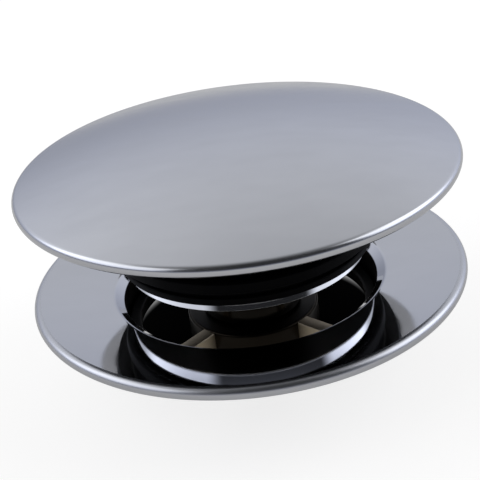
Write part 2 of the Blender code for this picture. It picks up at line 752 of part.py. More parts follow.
def make_carrier():
    """The moulded neck between cap and seal: the stem clamps its web to the cap's boss."""
    neck = CARRIER_NECK_D / 2
    foot = waist_r - CARRIER_STEP
    pocket = neck - CARRIER_WALL
    tube = plug_bore_r + CARRIER_WALL
    core_floor = carrier_flange_top + CARRIER_CORE_FLOOR
    hole = STEM_NECK_D / 2 + RUN
    profile = [
        (neck, carrier_top), (neck, carrier_flange_top + CARRIER_FILLET),
        (neck + CARRIER_FILLET, carrier_flange_top), (foot, carrier_flange_top),
        (foot, carrier_flange_z), (carrier_spigot_r, carrier_flange_z), (carrier_spigot_r, seal_z),
        (plug_bore_r, seal_z), (plug_bore_r, web_bottom), (hole, web_bottom), (hole, web_top),
        (tube, web_top), (tube, core_floor), (pocket, core_floor), (pocket, carrier_top)]
    carrier = turned("seal_carrier", profile, FACET_COUNT_MID)
    for k, (x, y) in enumerate(plate_screw_places()):
        hole = cylinder(
            "carrier_hole_%d" % (k + 1), PLATE_SCREW_D + 2 * RUN, seal_z - 1.0,
            plate_z + PLATE_SCREW_LEN + FIT, (x, y), 16)
        combine(carrier, guide(hole), "DIFFERENCE")
    return place(carrier, black_plastic, plug_axis)


def make_cap_ring():
    """The rubber ring between the carrier's rim and the cap's underside."""
    profile = arc(cap_ring_r, cap_ring_z, CAP_RING_WIRE / 2, 90, -225, 7)
    return place(turned("cap_ring", profile, FACET_COUNT_MID), black_rubber, plug_axis)


def make_cap_boss():
    """The threaded boss brazed under the cap's middle."""
    bore = STEM_NECK_D + 2 * RUN
    boss = ring("cap_boss", bore, bore + 2 * BOSS_WALL, boss_z, boss_top, FACET_COUNT_SMALL)
    return place(boss, brass, plug_axis)


def make_cap():
    """The domed cap: a thin shell with a thick rounded rim."""
    hem_r = CAP_D / 2 - CAP_HEM_W
    profile = [(0.0, cap_top)]
    dome_steps = 6
    for step in range(1, dome_steps):
        r = dome_edge_r * step / dome_steps
        profile.append((r, dome_centre_z + math.sqrt(dome_radius ** 2 - r ** 2)))
    profile += arc(cap_roll_r, cap_roll_z, CAP_ROLL, 90 - CAP_SLOPE_RIM, -90, 6)
    profile += [(hem_r + 0.3, cap_rim_z), (hem_r, cap_rim_z + 0.3)]
    under_steps = 4
    for step in range(under_steps):
        r = hem_r * (1 - step / under_steps)
        profile.append((r, cap_underside(r)))
    profile.append((0.0, cap_underside(0)))
    return place(turned("cap", profile, FACET_COUNT_WIDE, closed=False), satin, plug_axis)


make_flange()
make_gasket()
make_spider()
make_nut_and_washer()
make_barrel()
make_spring()
make_spring_washer()
make_cam_ring()
make_rotor()
make_rotor_clip()
make_stem()
make_guide_cap()
make_seal_plate()
make_plate_screws()
make_seal()
make_carrier()
make_cap_ring()
make_cap_boss()
make_cap()

for obj in parts.objects:
    if obj.type == "MESH":
        obj.data.shade_smooth()
        obj.data.set_sharp_from_angle(angle=math.radians(35))
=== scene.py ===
"""Looks of the pop-up drain: a domed cap and a seal on a push latch, raised over a dished flange.

Sizes in a section are millimetres. MM turns them to Blender's metres.
"""

import math

import bmesh
import bpy
from mathutils import Matrix, Vector


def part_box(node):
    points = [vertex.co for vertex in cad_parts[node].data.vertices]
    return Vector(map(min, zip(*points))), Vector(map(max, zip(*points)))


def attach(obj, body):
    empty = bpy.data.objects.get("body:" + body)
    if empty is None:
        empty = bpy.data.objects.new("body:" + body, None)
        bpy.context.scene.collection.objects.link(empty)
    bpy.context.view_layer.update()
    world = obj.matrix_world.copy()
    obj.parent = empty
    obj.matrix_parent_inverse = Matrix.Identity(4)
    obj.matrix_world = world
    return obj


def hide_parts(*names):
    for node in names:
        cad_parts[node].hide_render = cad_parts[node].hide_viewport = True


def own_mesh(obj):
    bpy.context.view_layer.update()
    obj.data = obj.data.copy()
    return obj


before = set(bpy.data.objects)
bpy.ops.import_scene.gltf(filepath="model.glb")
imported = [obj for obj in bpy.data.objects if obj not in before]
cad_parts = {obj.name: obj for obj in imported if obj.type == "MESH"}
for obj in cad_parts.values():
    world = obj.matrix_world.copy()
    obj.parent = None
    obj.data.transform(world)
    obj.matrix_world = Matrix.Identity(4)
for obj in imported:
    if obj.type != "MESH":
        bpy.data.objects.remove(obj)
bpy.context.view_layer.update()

# Cap
# A shallow dome pressed from brass sheet, its edge rolled to a thick rounded rim, then buffed and
# chrome plated to a satin. Its hollow underside is painted near black, as painted shade. The boss
# under its middle screws on the stem, so nothing shows on top.
MM = 0.001
SMOOTH_EDGE = math.radians(38)
# A point this far beside a round's end keeps the face next to it flat, or on its curve.
HOLD, CURVE_HOLD = 0.04, 0.05


def corner_arc(before, corner, after, fillet):
    """Points of one rounded corner, with a point close beside each end that keeps the faces flat."""
    steps = 7
    share_of_side, share_of_reach = 0.45, 0.4
    corner = Vector(corner)
    to_before, to_after = Vector(before) - corner, Vector(after) - corner
    shorter_side = min(to_before.length, to_after.length)
    to_before.normalize()
    to_after.normalize()
    half = to_before.angle(to_after) / 2
    reach = min(fillet / math.tan(half), shorter_side * share_of_side)
    fillet = reach * math.tan(half)
    centre = corner + (to_before + to_after).normalized() * (fillet / math.sin(half))
    first = corner + to_before * reach - centre
    sweep = first.angle_signed(corner + to_after * reach - centre)
    beside = reach + min(HOLD, reach * share_of_reach)
    points = [corner + to_before * beside]
    for step in range(steps + 1):
        turn = Matrix.Rotation(-sweep * step / steps, 2)
        points.append(centre + turn @ first)
    points.append(corner + to_after * beside)
    return [tuple(p) for p in points]


def rounded(outline, closed=True):
    """Rounds an outline of (radius, height, fillet) corners. A corner with no fillet stays a point."""
    points = []
    for k, (r, z, fillet) in enumerate(outline):
        end = not closed and k in (0, len(outline) - 1)
        if fillet and not end:
            before, after = outline[k - 1], outline[(k + 1) % len(outline)]
            points += corner_arc(before[:2], (r, z), after[:2], fillet)
        else:
            points.append((r, z))
    return points


def linked(name, data):
    """Puts a mesh, a curve or a camera in the scene as an object."""
    made = bpy.data.objects.new(name, data)
    bpy.context.scene.collection.objects.link(made)
    return made


def mesh_of(name, build):
    """Ends the building of a mesh and returns it under a name."""
    mesh = bpy.data.meshes.new(name)
    build.to_mesh(mesh)
    build.free()
    return mesh


def turned(name, points, segments, closed=True):
    """Turns an outline about Z. It runs down the outer side and up the inner one."""
    on_axis = 1e-6
    build = bmesh.new()
    rings = []
    for r, z in points:
        if r < on_axis:
            rings.append([build.verts.new((0.0, 0.0, z * MM))] * segments)
            continue
        ring = []
        for k in range(segments):
            angle = math.tau * k / segments
            ring.append(build.verts.new((r * math.cos(angle) * MM, r * math.sin(angle) * MM, z * MM)))
        rings.append(ring)
    pairs = list(zip(rings, rings[1:]))
    if closed:
        pairs.append((rings[-1], rings[0]))
    for upper, lower in pairs:
        for k in range(segments):
            j = (k + 1) % segments
            corners = []
            for vertex in (upper[k], lower[k], lower[j], upper[j]):
                if vertex not in corners:
                    corners.append(vertex)
            if len(corners) > 2:
                build.faces.new(corners)
    return linked(name, mesh_of(name, build))


def fitted(piece, finish, slot, body, *nodes):
    """Gives a piece its finish, files it on its body, and lets it stand for CAD nodes."""
    piece.data.materials.clear()
    piece.data.materials.append(finish)
    piece.data.shade_smooth()
    piece.data.set_sharp_from_angle(angle=SMOOTH_EDGE)
    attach(piece, body)
    if nodes:
        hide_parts(*nodes)


def paint(code):
    """An sRGB hex colour as linear RGBA."""
    channels = []
    for k in (0, 2, 4):
        value = int(code[k:k + 2], 16) / 255
        channels.append(value / 12.92 if value <= 0.04045 else ((value + 0.055) / 1.055) ** 2.4)
    return (*channels, 1.0)


def add(tree, kind, settings=None, inputs=None, links=None):
    """Adds one node with its settings, the values of its sockets and the links that come in."""
    node = tree.nodes.new(kind)
    for name, value in (settings or {}).items():
        setattr(node, name, value)
    for name, value in (inputs or {}).items():
        node.inputs[name].default_value = value
    for name, source in (links or {}).items():
        tree.links.new(source, node.inputs[name])
    return node


def blank_material(name):
    """A material with no nodes yet, and its tree."""
    made = bpy.data.materials.new(name)
    made.use_nodes = True
    made.node_tree.nodes.clear()
    return made, made.node_tree


def pattern_scale(width):
    """The scale of a noise whose patches or grains are so many millimetres wide."""
    return 1 / MM / width


def chrome_plate(name, colour, worn_colour, low, high):
    """Plating over buffed brass, from bright chrome to black nickel, with faint wipe marks.

    The wipe marks are patches of slightly higher roughness, drawn out sideways as a cloth leaves
    them. The buffing is a grain that is coarser than real, so that it just shows.
    """
    wipe_w, wipe_starts, wipe_full = 9, 0.35, 0.7
    buffing_w, buffing_depth = 0.25, 0.01
    material, tree = blank_material(name)
    place = add(tree, "ShaderNodeTexCoord")
    drawn_out = add(tree, "ShaderNodeMapping",
                    inputs={"Scale": (1.0, 2.2, 1.6), "Rotation": (0.0, 0.0, 0.6)},
                    links={"Vector": place.outputs["Object"]})
    wipes = add(tree, "ShaderNodeTexNoise",
                inputs={"Scale": pattern_scale(wipe_w), "Detail": 3.0, "Roughness": 0.55},
                links={"Vector": drawn_out.outputs["Vector"]})
    rough = add(tree, "ShaderNodeMapRange",
                inputs={"From Min": wipe_starts, "From Max": wipe_full, "To Min": low, "To Max": high},
                links={"Value": wipes.outputs["Fac"]})
    tone = add(tree, "ShaderNodeMix", {"data_type": "RGBA"},
               {"A": paint(colour), "B": paint(worn_colour)}, {"Factor": wipes.outputs["Fac"]})
    buffing = add(tree, "ShaderNodeTexNoise", inputs={"Scale": pattern_scale(buffing_w), "Detail": 1.0},
                  links={"Vector": drawn_out.outputs["Vector"]})
    bump = add(tree, "ShaderNodeBump", inputs={"Strength": 0.012, "Distance": buffing_depth * MM},
               links={"Height": buffing.outputs["Fac"]})
    shader = add(tree, "ShaderNodeBsdfPrincipled", inputs={"Metallic": 1.0},
                 links={"Base Color": tone.outputs["Result"], "Roughness": rough.outputs["Result"],
                        "Normal": bump.outputs["Normal"]})
    add(tree, "ShaderNodeOutputMaterial", links={"Surface": shader.outputs["BSDF"]})
    return material


def radius_and_height(material):
    """The tree of a material, and sockets for the distance from the axis and for the height."""
    tree = material.node_tree
    place = add(tree, "ShaderNodeTexCoord")
    axes = add(tree, "ShaderNodeSeparateXYZ", links={"Vector": place.outputs["Object"]})
    flat = add(tree, "ShaderNodeCombineXYZ", links={"X": axes.outputs["X"], "Y": axes.outputs["Y"]})
    out = add(tree, "ShaderNodeVectorMath", {"operation": "LENGTH"}, links={0: flat.outputs["Vector"]})
    return tree, out.outputs["Value"], axes.outputs["Z"]


def coat_where(tree, limits, colour, roughness):
    """Coats a material with a roughness, and a colour if one is given, inside all of the limits.

    A limit is a socket, the size up to which it is coated, and the width in which the coat then
    fades. With a width below nothing, the coat starts at the size instead.
    """
    mask = None
    for size, limit, fade in limits:
        inside = add(tree, "ShaderNodeMapRange",
                     inputs={"From Min": limit * MM, "From Max": (limit + fade) * MM,
                             "To Min": 1.0, "To Max": 0.0}, links={"Value": size})
        if mask is not None:
            inside = add(tree, "ShaderNodeMath", {"operation": "MULTIPLY"},
                         links={0: mask, 1: inside.outputs["Result"]})
        mask = inside.outputs[0]
    shader = next(n for n in tree.nodes if n.type == "BSDF_PRINCIPLED")
    changes = [("Roughness", "FLOAT", roughness)]
    if colour:
        changes.append(("Base Color", "RGBA", paint(colour)))
    for name, kind, value in changes:
        plain = shader.inputs[name].links[0].from_socket
        coat = add(tree, "ShaderNodeMix", {"data_type": kind}, {"B": value}, {"Factor": mask, "A": plain})
        tree.links.new(coat.outputs["Result"], shader.inputs[name])


low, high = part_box("cap")
cap_r, cap_low, cap_top = high.x / MM, low.z / MM, high.z / MM
cap_roll, cap_wall, cap_slope = 0.9, 1.3, math.radians(14.4)
hem_w, hem_round, hollow_round = 2.4, 0.35, 0.4
hem_r = cap_r - hem_w
inward_r = hem_r - 1.0
roll_r, roll_z = cap_r - cap_roll, cap_low + cap_roll
edge_r = roll_r + cap_roll * math.sin(cap_slope)
dome_r = edge_r / math.sin(cap_slope)
dome_z = cap_top - dome_r
dome_steps, roll_steps, hollow_steps = 24, 24, 12


def dome(r, depth=0.0):
    """Height of the dome, or of its inner face at a depth, at radius r."""
    return dome_z + math.sqrt((dome_r - depth) ** 2 - r * r)


# The satin spreads each reflection to a soft glow. The hollow underneath is painted a dull near black:
# painted shade.
cap_chrome = chrome_plate("chrome plate, satin", "C4C5C9", "BDBEC2", 0.18, 0.24)
# Painted shade: inside the hem and under the dome's inner face, the chrome is coated near black.
painted_shade_r, painted_shade_depth = hem_r + 0.3, 0.7
tree, out, height = radius_and_height(cap_chrome)
rise = add(tree, "ShaderNodeMath", {"operation": "SUBTRACT"}, {1: dome_z * MM}, {0: height})
from_centre = add(tree, "ShaderNodeCombineXYZ", links={"X": out, "Z": rise.outputs[0]})
span = add(tree, "ShaderNodeVectorMath", {"operation": "LENGTH"}, links={0: from_centre.outputs["Vector"]})
coat_where(tree, [(out, painted_shade_r, 0.1), (span.outputs["Value"], dome_r - painted_shade_depth, 0.2)], "0C0C0C", 0.45)

outline = [(0.0, cap_top)]
outline += [(edge_r * k / dome_steps, dome(edge_r * k / dome_steps)) for k in range(1, dome_steps)]
outline += [(edge_r - CURVE_HOLD, dome(edge_r - CURVE_HOLD))]
for step in range(roll_steps + 1):
    angle = math.pi / 2 - cap_slope - (math.pi - cap_slope) * step / roll_steps
    outline.append((roll_r + cap_roll * math.cos(angle), roll_z + cap_roll * math.sin(angle)))
hollow_edge = (hem_r, dome(hem_r, cap_wall))
further_in = (inward_r, dome(inward_r, cap_wall))
outline += corner_arc((roll_r, cap_low), (hem_r, cap_low), hollow_edge, hem_round)
outline += corner_arc((hem_r, cap_low), hollow_edge, further_in, hollow_round)
for k in range(hollow_steps - 1, -1, -1):
    outline.append((hem_r * k / hollow_steps, dome(hem_r * k / hollow_steps, cap_wall)))
fitted(turned("cap", outline, segments=256, closed=False), cap_chrome, "chrome_cap", "plug", "cap")

# Flange
# A brass casting turned to a shallow dish, with a rounded rim and a cone that leads into the throat.
# Below it is a short collar with a pipe thread. It is polished brighter than the cap before it is
# plated. The throat's wall is painted near black below its edge: painted shade.
low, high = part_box("flange")
flange_r, collar_end, rim_top = high.x / MM, low.z / MM, high.z / MM
rim_roll = 0.95
rim_edge = rim_top - 2 * rim_roll
rim_land, land_round = 1.3, 0.5
throat_r, throat_edge = 18.85, 0.3
lead_w, lead_round, lead_slope = 1.7, 1.0, math.radians(38)
collar_r, thread_depth = 20.95, 0.9
collar_root = collar_r - thread_depth
seat_z, seat_r = rim_edge - 1.3, 26.5
ledge_w, ledge_h = 1.55, 0.8
slope_rim, slope_throat = math.radians(9.2), math.radians(4.4)
roll_r = flange_r - rim_roll
dish_r1 = roll_r - rim_roll * math.sin(slope_rim)
dish_r0 = throat_r + lead_w
dish_radius = (dish_r1 - dish_r0) / (math.sin(slope_rim) - math.sin(slope_throat))
dish_mid_r = dish_r1 - dish_radius * math.sin(slope_rim)
dish_mid_z = rim_edge + rim_roll * (1 + math.cos(slope_rim)) + dish_radius * math.cos(slope_rim)
rim_steps, edge_steps, lead_steps, dish_steps = 24, 8, 12, 20


def dish(r):
    """Height of the dished face at radius r."""
    return dish_mid_z - math.sqrt(dish_radius ** 2 - (r - dish_mid_r) ** 2)


round_r = dish_r0 + lead_round * math.sin(slope_throat)
round_z = dish(dish_r0) - lead_round * math.cos(slope_throat)
cone_r = round_r - lead_round * math.sin(lead_slope)
cone_z = round_z + lead_round * math.cos(lead_slope)
crest_r = throat_r + throat_edge * (1 - math.sin(lead_slope))
crest_z = cone_z - (cone_r - crest_r) * math.tan(lead_slope)
throat_z = crest_z - throat_edge * math.cos(lead_slope)

# The mirror polish keeps reflections sharp. Only the rolled rim is duller, so it has a soft shine.
# The throat's wall is painted near black below its edge, a painted shade that swallows nearly all light.
polish = ("BEBFC3", "B8B9BD", 0.02, 0.045)
flange_chrome = chrome_plate("chrome plate, mirror", *polish)
throat_chrome = chrome_plate("chrome plate, painted shade in the throat", *polish)
dull_r, painted_shade_r, painted_shade_top = flange_r - 0.99, throat_r + 0.1, throat_z + 0.12
tree, out, height = radius_and_height(throat_chrome)
coat_where(tree, [(out, dull_r, -0.2)], None, 0.3)
# Painted shade: the throat's wall below its edge is coated near black.
coat_where(tree, [(out, painted_shade_r, 0.05), (height, painted_shade_top, 0.1)], "0B0A09", 0.4)

outline = []
for step in range(rim_steps + 1):
    angle = math.pi / 2 + slope_rim - (math.pi + slope_rim) * step / rim_steps
    outline.append((roll_r + rim_roll * math.cos(angle), rim_edge + rim_roll + rim_roll * math.sin(angle)))
lower = rounded([
    (roll_r - rim_land, rim_edge, land_round), (seat_r, seat_z, 0.4), (collar_root, seat_z, 0.3),
    (collar_root, collar_end, 0.35), (throat_r - ledge_w, collar_end, 0.15),
    (throat_r - ledge_w, collar_end + ledge_h, 0.15), (throat_r, collar_end + ledge_h, 0.1),
    (throat_r, throat_z, 0.0)], closed=False)
outline += [(roll_r - HOLD, rim_edge)]
outline += corner_arc((roll_r, rim_edge), (roll_r - rim_land, rim_edge), (seat_r, seat_z), land_round)
outline += lower[1:]
for step in range(edge_steps + 1):
    angle = math.pi - (math.pi / 2 - lead_slope) * step / edge_steps
    outline.append((throat_r + throat_edge + throat_edge * math.cos(angle),
                    throat_z + throat_edge * math.sin(angle)))
for r in (crest_r + CURVE_HOLD, cone_r - CURVE_HOLD):
    outline.append((r, cone_z - (cone_r - r) * math.tan(lead_slope)))
for step in range(lead_steps + 1):
    angle = math.pi / 2 + lead_slope - (lead_slope - slope_throat) * step / lead_steps
    outline.append((round_r + lead_round * math.cos(angle), round_z + lead_round * math.sin(angle)))
dish_radii = [dish_r0 + CURVE_HOLD]
dish_radii += [dish_r0 + (dish_r1 - dish_r0) * k / dish_steps for k in range(1, dish_steps)]
dish_radii += [dish_r1 - CURVE_HOLD]
outline += [(r, dish(r)) for r in dish_radii]
fitted(turned("flange", outline, segments=256), throat_chrome, "chrome_plate", "fixed", "flange")

# Collar thread
# The pipe thread is cut on the collar, right-handed, 11 turns to the inch, and runs out at both ends.
# One ridge is swept along a spiral, because that is what the cutter leaves.
thread_pitch, thread_start, thread_stop = 2.309, 0.45, 0.35
thread_sink = 0.1
foot = thread_pitch * 0.72
tip_share, tip_round = 0.22, 0.06
runout_share, runout_size = 0.09, 0.25

winding = bpy.data.node_groups.new("thread winding", "GeometryNodeTree")
for name, kind in (("Radius", "NodeSocketFloat"), ("Pitch", "NodeSocketFloat"), ("Turns", "NodeSocketFloat"),
                   ("Depth", "NodeSocketFloat"), ("Foot", "NodeSocketFloat"),
                   ("Finish", "NodeSocketMaterial")):
    winding.interface.new_socket(name, in_out="INPUT", socket_type=kind)
winding.interface.new_socket("Geometry", in_out="OUTPUT", socket_type="NodeSocketGeometry")
given = add(winding, "NodeGroupInput")
rise = add(winding, "ShaderNodeMath", {"operation": "MULTIPLY"},
           links={0: given.outputs["Pitch"], 1: given.outputs["Turns"]})
spiral = add(winding, "GeometryNodeCurveSpiral", inputs={"Resolution": 96},
             links={"Rotations": given.outputs["Turns"], "Start Radius": given.outputs["Radius"],
                    "End Radius": given.outputs["Radius"], "Height": rise.outputs[0]})
along = add(winding, "GeometryNodeSplineParameter")
back = add(winding, "ShaderNodeMath", {"operation": "SUBTRACT"}, {0: 1.0}, {1: along.outputs["Factor"]})
nearest = add(winding, "ShaderNodeMath", {"operation": "MINIMUM"},
              links={0: along.outputs["Factor"], 1: back.outputs[0]})
runout = add(winding, "ShaderNodeMapRange",
             inputs={"From Max": runout_share, "To Min": runout_size, "To Max": 1.0},
             links={"Value": nearest.outputs[0]})
upright = add(winding, "GeometryNodeSetCurveNormal", {"mode": "Z_UP"},
              links={"Curve": spiral.outputs["Curve"]})
tip = add(winding, "ShaderNodeMath", {"operation": "MULTIPLY"}, {1: tip_share}, {0: given.outputs["Foot"]})
tooth = add(winding, "GeometryNodeCurvePrimitiveQuadrilateral", {"mode": "TRAPEZOID"}, {"Offset": 0.0},
            {"Bottom Width": given.outputs["Foot"], "Top Width": tip.outputs[0],
             "Height": given.outputs["Depth"]})
softened = add(winding, "GeometryNodeFilletCurve", {"mode": "POLY"},
               {"Count": 3, "Radius": tip_round * MM}, {"Curve": tooth.outputs["Curve"]})
middle = add(winding, "ShaderNodeMath", {"operation": "DIVIDE"}, {1: -2.0}, {0: given.outputs["Depth"]})
outward = add(winding, "ShaderNodeCombineXYZ", links={"X": middle.outputs[0]})
standing = add(winding, "GeometryNodeTransform", inputs={"Rotation": (0.0, 0.0, math.radians(90))},
               links={"Geometry": softened.outputs["Curve"], "Translation": outward.outputs["Vector"]})
ridge = add(winding, "GeometryNodeCurveToMesh", inputs={"Fill Caps": True},
            links={"Curve": upright.outputs["Curve"], "Profile Curve": standing.outputs["Geometry"],
                   "Scale": runout.outputs["Result"]})
whole = add(winding, "GeometryNodeRealizeInstances", links={"Geometry": ridge.outputs["Mesh"]})
dressed = add(winding, "GeometryNodeSetMaterial",
              links={"Geometry": whole.outputs["Geometry"], "Material": given.outputs["Finish"]})
add(winding, "NodeGroupOutput", links={"Geometry": dressed.outputs["Geometry"]})


def settled(source, *tools):
    """The plain mesh that an object's modifiers make. The object and its tools are removed."""
    graph = bpy.context.evaluated_depsgraph_get()
    mesh = bpy.data.meshes.new_from_object(source.evaluated_get(graph), depsgraph=graph)
    for spent in (source, *tools):
        bpy.data.objects.remove(spent)
    return mesh


def grown(name, mesh, tree, values):
    """Runs a node tree on a mesh and returns the plain mesh object that it makes."""
    seed = linked(name + "_seed", mesh)
    modifier = seed.modifiers.new("grow", "NODES")
    modifier.node_group = tree
    for item in tree.interface.items_tree:
        if item.item_type == "SOCKET" and item.in_out == "INPUT" and item.name in values:
            modifier[item.identifier] = values[item.name]
    made = settled(seed)
    made.name = name
    return linked(name, made)


turns = (seat_z - thread_stop - foot - collar_end - thread_start) / thread_pitch
thread = grown("collar_thread", bpy.data.meshes.new("thread seed"), winding, {
    "Radius": (collar_root - thread_sink) * MM, "Pitch": thread_pitch * MM, "Turns": turns,
    "Depth": (thread_depth + thread_sink) * MM, "Foot": foot * MM, "Finish": flange_chrome})
thread.data.transform(Matrix.Translation((0.0, 0.0, (collar_end + thread_start + foot / 2) * MM)))
fitted(thread, flange_chrome, "chrome_plate", "fixed")

# Flange gasket
# A flat ring cut from black rubber sheet, which seals the flange to the basin. Its cut edges are
# matte, and its faces carry the fine grain of the sheet.
gasket_bore, gasket_round = 21.25, 0.2


def moulded(name, colour, bloom_colour, low, high, bloom_w, grain_w, relief, refraction):
    """Moulded black rubber or plastic, which gives hardly any shine.

    It has a bloom in soft patches of grey and roughness, and a fine grain from its mould.
    """
    grain_depth = 0.02
    material, tree = blank_material(name)
    place = add(tree, "ShaderNodeTexCoord")
    bloom = add(tree, "ShaderNodeTexNoise", inputs={"Scale": pattern_scale(bloom_w), "Detail": 4.0},
                links={"Vector": place.outputs["Object"]})
    tone = add(tree, "ShaderNodeMix", {"data_type": "RGBA"},
               {"A": paint(colour), "B": paint(bloom_colour)}, {"Factor": bloom.outputs["Fac"]})
    rough = add(tree, "ShaderNodeMapRange", inputs={"To Min": low, "To Max": high},
                links={"Value": bloom.outputs["Fac"]})
    grain = add(tree, "ShaderNodeTexNoise", inputs={"Scale": pattern_scale(grain_w), "Detail": 2.0},
                links={"Vector": place.outputs["Object"]})
    bump = add(tree, "ShaderNodeBump", inputs={"Strength": relief, "Distance": grain_depth * MM},
               links={"Height": grain.outputs["Fac"]})
    shader = add(tree, "ShaderNodeBsdfPrincipled", inputs={"IOR": refraction, "Specular IOR Level": 0.05},
                 links={"Base Color": tone.outputs["Result"], "Roughness": rough.outputs["Result"],
                        "Normal": bump.outputs["Normal"]})
    add(tree, "ShaderNodeOutputMaterial", links={"Surface": shader.outputs["BSDF"]})
    return material


rubber = moulded("black rubber, moulded", "040405", "080809", 0.42, 0.62,
                 bloom_w=5, grain_w=0.18, relief=0.25, refraction=1.5)
low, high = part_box("flange_gasket")
outer, z0, z1 = high.x / MM, low.z / MM, high.z / MM
outline = rounded([(outer, z1, gasket_round), (outer, z0, gasket_round), (gasket_bore, z0, gasket_round),
                   (gasket_bore, z1, gasket_round)])
fitted(turned("flange_gasket", outline, segments=192), rubber, "black_rubber", "fixed", "flange_gasket")

# Spider
# A small brass casting: a hub for the barrel, four arms that run out level on top and taper below,
# and a ring that rests on the collar's ledge. It is blackened. Its ring is painted a deeper black as
# painted shade, and its arms pale as painted highlights.

# The gap between a piece and what it rests on or screws into.
FIT = 0.3
low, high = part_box("spider")
hub_low, hub_top = low.z / MM, high.z / MM
ring_r, ring_w = high.x / MM, 1.6
hub_r, hub_bore = 9.8, 6.2
ring_low = collar_end + ledge_h + FIT
arm_w, arm_sink, arm_round, arm_count = 2.2, 0.15, 0.35, 4
arm_in, arm_knee, arm_out = 8.0, 17.0, ring_r - ring_w / 2
arm_top = hub_top - arm_sink

# The blackening leaves a warm black with a low gleam. The ring is painted a sootier black, as painted
# shade, and the arms a pale, dull brass, as painted highlights.
bronze = chrome_plate("blackened brass", "231F1A", "191612", 0.28, 0.4)
painted_shade_brass = chrome_plate("blackened brass, painted shade", "0C0B0A", "080707", 0.45, 0.6)
painted_highlight_brass = chrome_plate("blackened brass, painted highlights", "CDBFA6", "A99C86", 0.34, 0.46)

outline = rounded([(hub_r, hub_top, 0.4), (hub_r, hub_low, 0.3), (hub_bore, hub_low, 0.15),
                   (hub_bore, hub_top, 0.15)])
fitted(turned("spider_hub", outline, segments=160), bronze, "chrome_plate_dark", "fixed", "spider")
outline = rounded([(ring_r, hub_top, 0.15), (ring_r, ring_low, 0.15), (ring_r - ring_w, ring_low, 0.2),
                   (ring_r - ring_w, hub_top, 0.3)])
# The ring's deeper black is painted shade.
fitted(turned("spider_ring", outline, segments=192), painted_shade_brass, "chrome_plate_dark", "fixed")

side = [(arm_in, arm_top), (arm_out, arm_top), (arm_out, ring_low + arm_sink),
        (arm_knee, ring_low + arm_sink), (arm_in, hub_low + arm_sink)]
build = bmesh.new()
near = [build.verts.new((r * MM, -arm_w / 2 * MM, z * MM)) for r, z in side]
far = [build.verts.new((r * MM, arm_w / 2 * MM, z * MM)) for r, z in side]
build.faces.new(near)
build.faces.new(list(reversed(far)))
for k in range(len(side)):
    j = (k + 1) % len(side)
    build.faces.new((near[j], near[k], far[k], far[j]))
bmesh.ops.recalc_face_normals(build, faces=build.faces)
long_edges = [e for e in build.edges if abs(e.verts[0].co.x - e.verts[1].co.x) > arm_w * MM]
bmesh.ops.bevel(build, geom=long_edges, offset=arm_round * MM, segments=4, profile=0.5, affect="EDGES",
                clamp_overlap=True)
arm = mesh_of("spider arm", build)

ring_of = bpy.data.node_groups.new("copies round the axis", "GeometryNodeTree")
for name, kind in (("Geometry", "NodeSocketGeometry"), ("Count", "NodeSocketInt"),
                   ("First Angle", "NodeSocketFloat"), ("Finish", "NodeSocketMaterial")):
    ring_of.interface.new_socket(name, in_out="INPUT", socket_type=kind)
ring_of.interface.new_socket("Geometry", in_out="OUTPUT", socket_type="NodeSocketGeometry")
given = add(ring_of, "NodeGroupInput")
spots = add(ring_of, "GeometryNodeMeshLine", inputs={"Offset": (0.0, 0.0, 0.0)},
            links={"Count": given.outputs["Count"]})
number = add(ring_of, "GeometryNodeInputIndex")
between = add(ring_of, "ShaderNodeMath", {"operation": "DIVIDE"}, {0: math.tau},
              {1: given.outputs["Count"]})
bearing = add(ring_of, "ShaderNodeMath", {"operation": "MULTIPLY_ADD"},
              links={0: number.outputs["Index"], 1: between.outputs[0], 2: given.outputs["First Angle"]})
spin = add(ring_of, "ShaderNodeCombineXYZ", links={"Z": bearing.outputs[0]})
copies = add(ring_of, "GeometryNodeInstanceOnPoints",
             links={"Points": spots.outputs["Mesh"], "Instance": given.outputs["Geometry"],
                    "Rotation": spin.outputs["Vector"]})
whole = add(ring_of, "GeometryNodeRealizeInstances", links={"Geometry": copies.outputs["Instances"]})
dressed = add(ring_of, "GeometryNodeSetMaterial",
              links={"Geometry": whole.outputs["Geometry"], "Material": given.outputs["Finish"]})
add(ring_of, "NodeGroupOutput", links={"Geometry": dressed.outputs["Geometry"]})

# The arms' pale brass is a painted highlight.
arms = grown("spider_arms", arm, ring_of,
             {"Count": arm_count, "First Angle": math.radians(45), "Finish": painted_highlight_brass})
fitted(arms, painted_highlight_brass, "chrome_plate_dark", "fixed")

# Barrel
# The latch's housing, turned from brass and plated in black nickel, a dark smoky mirror. It stands
# through the hub, and its shoulder rests on it. Inside, a step carries the cam.
low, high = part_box("barrel")
barrel_r, z0, z1 = high.x / MM, low.z / MM, high.z / MM
shoulder, spigot_r, spigot_bore = hub_top + FIT, 5.9, 4.5
drain_hole, drain_floor = 1.2, z0 + 0.8
cam_seat, cam_bore = 10.3, 5.8
barrel_plate = chrome_plate("black nickel", "1F1D1A", "161411", 0.16, 0.24)
outline = rounded([
    (barrel_r, z1, 0.25), (barrel_r, shoulder, 0.2), (spigot_r, shoulder, 0.1), (spigot_r, z0, 0.3),
    (drain_hole, z0, 0.15), (drain_hole, drain_floor, 0.1), (spigot_bore, drain_floor, 0.2),
    (spigot_bore, cam_seat, 0.1), (cam_bore, cam_seat, 0.1), (cam_bore, z1, 0.15)])
fitted(turned("barrel", outline, segments=128), barrel_plate, "chrome_plate_dark", "fixed", "barrel")

# Lock nut
# A hexagon nut turned from brass bar: the lathe leaves rings on its end faces and rounds its corners
# to a cone. It draws the barrel down on the hub.
low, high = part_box("lock_nut")
flats, corners_r, z0, z1 = high.x / MM, high.y / MM, low.z / MM, high.z / MM
nut_bore = spigot_r + FIT
face_r, cone_drop, cone_over = flats - 0.3, 0.65, 0.02
bar_r, bar_spare = flats / math.cos(math.pi / 6), 2
edge_round, edge_angle = 0.1, math.radians(25)


